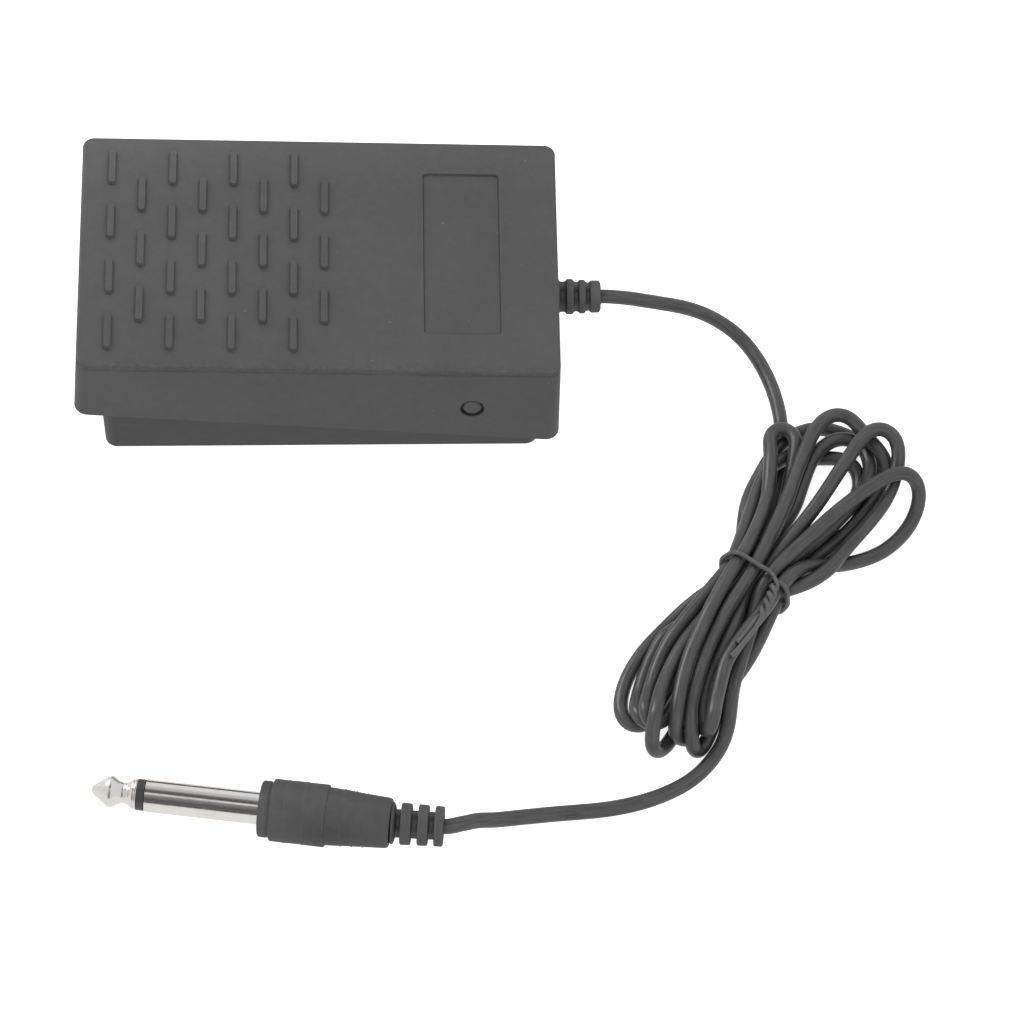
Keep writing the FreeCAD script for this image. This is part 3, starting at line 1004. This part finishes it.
118.834,-41.974,7.463 119.253,-40.564,7.849 119.585,-39.15,8.297 119.801,-37.727,8.779
119.859,-36.294,9.275 119.685,-34.873,9.772 119.177,-33.533,10.261 118.238,-32.441,10.72
116.902,-31.848,11.095 115.414,-31.919,11.328 114.057,-32.568,11.414 112.936,-33.573,11.405
112.005,-34.755,11.356 111.179,-36.01,11.308 110.393,-37.29,11.277 109.618,-38.576,11.263
108.848,-39.863,11.26 108.086,-41.152,11.261 107.335,-42.448,11.262 106.595,-43.747,11.261
105.859,-45.047,11.262 105.122,-46.345,11.264 104.381,-47.639,11.262 103.631,-48.926,11.243
102.862,-50.199,11.185 102.058,-51.445,11.071 101.219,-52.661,10.915 100.359,-53.858,10.739
99.485,-55.043,10.557 98.605,-56.22,10.375 97.719,-57.393,10.194 96.829,-58.562,10.016
95.937,-59.729,9.842 95.042,-60.892,9.67 94.145,-62.054,9.503 93.247,-63.213,9.339
92.348,-64.372,9.179 91.451,-65.531,9.025 90.563,-66.698,8.881 89.684,-67.87,8.731
88.8,-69.035,8.567 87.921,-70.206,8.424 87.099,-71.42,8.373 86.423,-72.719,8.408
85.896,-74.084,8.509 85.475,-75.482,8.642 85.096,-76.892,8.784 84.716,-78.302,8.918
84.301,-79.704,9.015 83.833,-81.092,9.037 83.319,-82.459,8.947 82.769,-83.8,8.741
82.184,-85.11,8.455 81.559,-86.388,8.117 80.868,-87.617,7.734 80.119,-88.805,7.332
79.408,-90.031,6.984 78.801,-91.333,6.727 78.31,-92.693,6.541 77.922,-94.091,6.401
77.618,-95.511,6.281 77.383,-96.943,6.147 77.212,-98.378,5.97 77.113,-99.813,5.75
77.104,-101.253,5.548 77.205,-102.702,5.517 77.451,-104.077,5.912 77.848,-105.003,6.954
78.335,-104.896,8.313 78.742,-103.874,9.255 79.04,-102.509,9.638 79.293,-101.084,9.691
79.556,-99.661,9.623 79.848,-98.244,9.552 80.165,-96.832,9.527 80.497,-95.424,9.556
80.836,-94.019,9.633 81.197,-92.624,9.754 81.617,-91.25,9.911 82.152,-89.919,10.087
82.806,-88.641,10.257 83.536,-87.404,10.411 84.307,-86.189,10.541 85.099,-84.985,10.649
85.91,-83.793,10.744 86.737,-82.611,10.831 87.577,-81.437,10.912 88.424,-80.268,10.983
89.27,-79.096,11.033 90.089,-77.905,11.025 90.856,-76.683,10.933 91.567,-75.433,10.783
92.206,-74.148,10.586 92.973,-72.946,10.492 93.752,-71.751,10.459 94.545,-70.565,10.435
95.389,-69.423,10.313 96.212,-68.299,10.007 97.051,-67.242,9.544 97.929,-66.274,8.967
98.86,-65.409,8.313 99.853,-64.652,7.616 100.909,-63.996,6.905 102.007,-63.42,6.186
103.107,-62.862,5.455 104.27,-62.334,4.801 105.491,-61.824,4.241 106.735,-61.31,3.737
107.994,-60.78,3.285 109.264,-60.222,2.896 110.537,-59.625,2.578 111.803,-58.989,2.302
113.05,-58.303,2.055 114.271,-57.556,1.848 115.455,-56.74,1.694 116.596,-55.852,1.597
117.685,-54.897,1.552 118.718,-53.879,1.55 119.692,-52.803,1.588 120.604,-51.679,1.702
121.448,-50.516,1.924 122.21,-49.33,2.28 122.872,-48.136,2.782 123.404,-46.949,3.436
123.766,-45.791,4.242 123.907,-44.7,5.197 123.772,-43.733,6.281 123.317,-42.975,7.441
122.529,-42.515,8.58 121.459,-42.406,9.569 120.206,-42.629,10.289 118.888,-43.108,10.71
117.599,-43.772,10.922 116.361,-44.555,11.013 115.168,-45.411,11.05 114.005,-46.31,11.073
112.862,-47.237,11.101 111.736,-48.186,11.141 110.627,-49.155,11.189 109.533,-50.144,11.238
108.455,-51.151,11.283 107.39,-52.174,11.315 106.336,-53.21,11.331 105.293,-54.257,11.329
104.26,-55.314,11.314 103.232,-56.378,11.295 102.21,-57.447,11.275 101.192,-58.52,11.254
100.177,-59.597,11.232 99.166,-60.677,11.209 98.157,-61.76,11.185 97.153,-62.846,11.158
96.152,-63.935,11.128 95.156,-65.028,11.093 94.168,-66.129,11.05 93.201,-67.246,10.988
92.286,-68.401,10.876 91.432,-69.591,10.686 90.633,-70.8,10.402 89.92,-72.033,10.017
89.358,-73.326,9.582 88.941,-74.682,9.167 88.573,-76.064,8.794 88.228,-77.462,8.456
87.874,-78.857,8.114 87.464,-80.22,7.713 87.014,-81.559,7.273 86.553,-82.891,6.825
86.089,-84.224,6.382 85.625,-85.561,5.95 85.163,-86.904,5.537 84.708,-88.259,5.153
84.267,-89.63,4.817 83.859,-91.028,4.553 83.515,-92.456,4.379 83.238,-93.903,4.234
83.015,-95.355,4.053 82.828,-96.801,3.796 82.649,-98.229,3.446 82.434,-99.629,3.013
82.143,-101.003,2.541 81.753,-102.364,2.102 81.261,-103.724,1.774 80.674,-105.074,1.597
80.002,-106.396,1.55 79.251,-107.676,1.55 78.426,-108.91,1.55 77.534,-110.097,1.55
76.574,-111.232,1.55 75.545,-112.305,1.55 74.446,-113.307,1.55 73.279,-114.231,1.55
72.054,-115.078,1.55 70.781,-115.853,1.55 69.47,-116.562,1.55 68.127,-117.212,1.55
66.758,-117.804,1.55 65.364,-118.342,1.55 63.951,-118.824,1.55 62.519,-119.253,1.55
61.073,-119.631,1.55 59.613,-119.961,1.55 58.144,-120.245,1.55 56.665,-120.484,1.55
55.18,-120.683,1.55 53.69,-120.849,1.55 52.196,-120.989,1.55 50.701,-121.114,1.55
49.204,-121.237,1.55 47.708,-121.371,1.553 46.213,-121.531,1.574 44.723,-121.727,1.633
43.243,-121.968,1.748 41.776,-122.257,1.929 40.328,-122.59,2.176 38.9,-122.961,2.481
37.489,-123.363,2.83 36.094,-123.791,3.209 34.71,-124.187,3.61 33.338,-124.508,4.022
31.974,-124.821,4.442 30.597,-125.408,5.005 29.214,-126.189,5.622 27.846,-126.819,6.086
26.489,-127.341,6.319 25.094,-127.58,6.37 23.604,-127.455,6.37 22.113,-127.313,6.37
20.621,-127.171,6.37 19.128,-127.029,6.37 17.634,-126.887,6.37 16.141,-126.744,6.37
14.647,-126.602,6.37 13.153,-126.46,6.37 11.659,-126.318,6.37 10.166,-126.175,6.37
8.672,-126.033,6.37
""")
TIE = read_points("""
84.176,-87.265,12.479 84.482,-86.871,12.51 84.783,-86.475,12.543 85.08,-86.075,12.573
85.377,-85.676,12.603 85.674,-85.276,12.635 85.97,-84.876,12.669 86.262,-84.474,12.708
86.548,-84.069,12.751 86.828,-83.659,12.796 87.102,-83.245,12.842 87.37,-82.826,12.883
87.636,-82.406,12.915 87.91,-81.99,12.931 88.209,-81.592,12.927 88.549,-81.231,12.906
88.939,-80.924,12.877 89.366,-80.675,12.874 89.802,-80.462,12.956 90.197,-80.25,13.148
90.493,-79.999,13.437 90.642,-79.681,13.766 90.641,-79.292,14.049 90.529,-78.852,14.206
90.381,-78.396,14.192 90.283,-77.962,14.011 90.308,-77.582,13.717 90.492,-77.273,13.399
90.822,-77.024,13.154 91.238,-76.806,13.054 91.653,-76.577,13.124 91.982,-76.301,13.334
92.166,-75.96,13.611 92.19,-75.559,13.863 92.084,-75.123,14.007 91.912,-74.686,13.992
91.751,-74.285,13.814 91.666,-73.938,13.515 91.687,-73.635,13.167 91.817,-73.348,12.841
92.046,-73.06,12.601 92.349,-72.785,12.493 92.696,-72.579,12.521 93.06,-72.497,12.626
93.426,-72.554,12.715 93.777,-72.725,12.725 94.095,-72.961,12.616 94.367,-73.198,12.384
94.59,-73.395,12.052 94.766,-73.536,11.654 94.897,-73.623,11.214 94.987,-73.669,10.75
95.046,-73.686,10.273 95.088,-73.691,9.79 95.122,-73.691,9.303 95.156,-73.693,8.814
95.188,-73.696,8.323 95.212,-73.695,7.83 95.214,-73.68,7.337 95.178,-73.64,6.846
95.087,-73.567,6.365 94.96,-73.471,5.895 94.812,-73.362,5.432 94.656,-73.246,4.973
94.497,-73.128,4.516 94.33,-73.004,4.062 94.146,-72.869,3.619 93.931,-72.713,3.199
93.669,-72.527,2.819 93.363,-72.314,2.491 93.031,-72.083,2.199 92.686,-71.845,1.927
92.336,-71.603,1.663 91.984,-71.359,1.406 91.626,-71.112,1.16 91.258,-70.858,0.941
90.874,-70.594,0.769 90.475,-70.319,0.668 90.067,-70.038,0.654 89.659,-69.757,0.702
89.254,-69.479,0.787 88.85,-69.201,0.888 88.448,-68.925,0.993 88.044,-68.648,1.096
87.64,-68.37,1.192 87.235,-68.091,1.282 86.828,-67.812,1.364 86.421,-67.532,1.441
86.012,-67.252,1.514 85.604,-66.973,1.591 85.2,-66.695,1.686 84.804,-66.423,1.819
84.43,-66.165,2.017 84.098,-65.934,2.303 83.816,-65.734,2.66 83.571,-65.559,3.058
83.347,-65.399,3.476 83.132,-65.244,3.901 82.92,-65.09,4.328 82.712,-64.939,4.758
82.517,-64.797,5.196 82.351,-64.673,5.65 82.234,-64.581,6.126 82.168,-64.524,6.617
82.132,-64.486,7.114 82.112,-64.458,7.613 82.096,-64.433,8.113 82.083,-64.41,8.613
82.081,-64.393,9.112 82.106,-64.394,9.61 82.179,-64.425,10.101 82.322,-64.503,10.571
82.512,-64.611,11.018 82.728,-64.737,11.45 82.956,-64.87,11.875 83.186,-65.005,12.298
83.418,-65.14,12.719 83.656,-65.28,13.135 83.912,-65.431,13.533 84.204,-65.605,13.893
84.542,-65.809,14.187 84.921,-66.039,14.396 85.328,-66.288,14.511 85.747,-66.545,14.541
86.168,-66.804,14.505 86.586,-67.061,14.428 87.001,-67.317,14.332 87.415,-67.572,14.228
87.829,-67.827,14.124 88.244,-68.081,14.022 88.659,-68.333,13.92 89.076,-68.58,13.817
89.495,-68.822,13.709 89.914,-69.057,13.596 90.334,-69.287,13.478 90.75,-69.519,13.358
91.155,-69.766,13.241 91.533,-70.05,13.143 91.858,-70.395,13.084 92.104,-70.8,13.091
92.268,-71.236,13.178 92.376,-71.675,13.333 92.47,-72.107,13.518 92.585,-72.548,13.661
92.717,-73.001,13.702 92.82,-73.454,13.619 92.837,-73.884,13.429 92.722,-74.27,13.186
92.461,-74.599,12.973 92.089,-74.87,12.872 91.68,-75.101,12.931 91.322,-75.328,13.147
91.087,-75.589,13.469 91.01,-75.912,13.811 91.077,-76.301,14.08 91.231,-76.737,14.2
91.387,-77.185,14.14 91.459,-77.606,13.922 91.387,-77.969,13.617 91.152,-78.262,13.319
90.784,-78.497,13.121 90.355,-78.708,13.081 89.951,-78.934,13.208 89.646,-79.213,13.452
89.473,-79.567,13.727 89.419,-79.993,13.943 89.43,-80.464,14.031 89.44,-80.942,13.971
89.403,-81.392,13.789 89.294,-81.797,13.535 89.114,-82.169,13.267 88.883,-82.539,13.037
88.625,-82.924,12.87 88.359,-83.327,12.768 88.092,-83.742,12.718 87.822,-84.158,12.697
87.546,-84.572,12.687 87.261,-84.981,12.675 86.971,-85.385,12.653 86.676,-85.786,12.622
86.379,-86.186,12.582 86.082,-86.584,12.537 85.785,-86.983,12.491 85.486,-87.38,12.446
85.18,-87.773,12.403 84.865,-88.158,12.363 84.544,-88.54,12.324 84.223,-88.92,12.283
83.898,-89.297,12.235 83.563,-89.664,12.178 83.212,-90.012,12.107 82.837,-90.33,12.019
""")

# ---- build ----
build_tray()
build_floor_pad()
build_cover()
build_pin("pivot_pin_front", -1)
build_pin("pivot_pin_back", 1)
build_spring()
build_bumper("stop_bumper_front", -1)
build_bumper("stop_bumper_back", 1)
build_switch()
screw_pair("stack_screws", stack_mid, dim.screw_y, head_z)
screw_pair("clamp_screws", saddle_mid, dim.clamp_screw_y, dim.clamp_z1)
build_clamp()
build_boot()
build_leads()
shape_piece("cable", rod(CABLE, float(dim.cable_r)))
shape_piece("twist_tie", rod(TIE, 0.52, 40))
build_plug_contacts()
build_plug_grip()
build_plug_relief()
build_conductor("plug_signal_wire", 1, [(48.5, 0.3, 1.3), (45.5, 0.0, 1.25), (42.0, 0.0, 1.15)])
build_conductor("plug_ground_wire", -1,
                [(48.5, -0.3, -1.3), (45.5, 0.0, -1.74), (42.5, 0.0, -1.76)])

# ---- check and write ----
doc.recompute()
bad = [item.Name for item in doc.Objects
       if any(str(state) in ("Invalid", "Error") for state in item.State)]
for name, piece in pieces.items():
    shape = piece.Shape
    if shape.isNull() or not shape.isValid() or not shape.Solids or shape.Volume <= 0:
        bad.append(name)
if bad:
    raise RuntimeError("bad objects: %s" % bad)
for name, piece in pieces.items():
    piece.Shape.exportStep("parts/%s.step" % name)
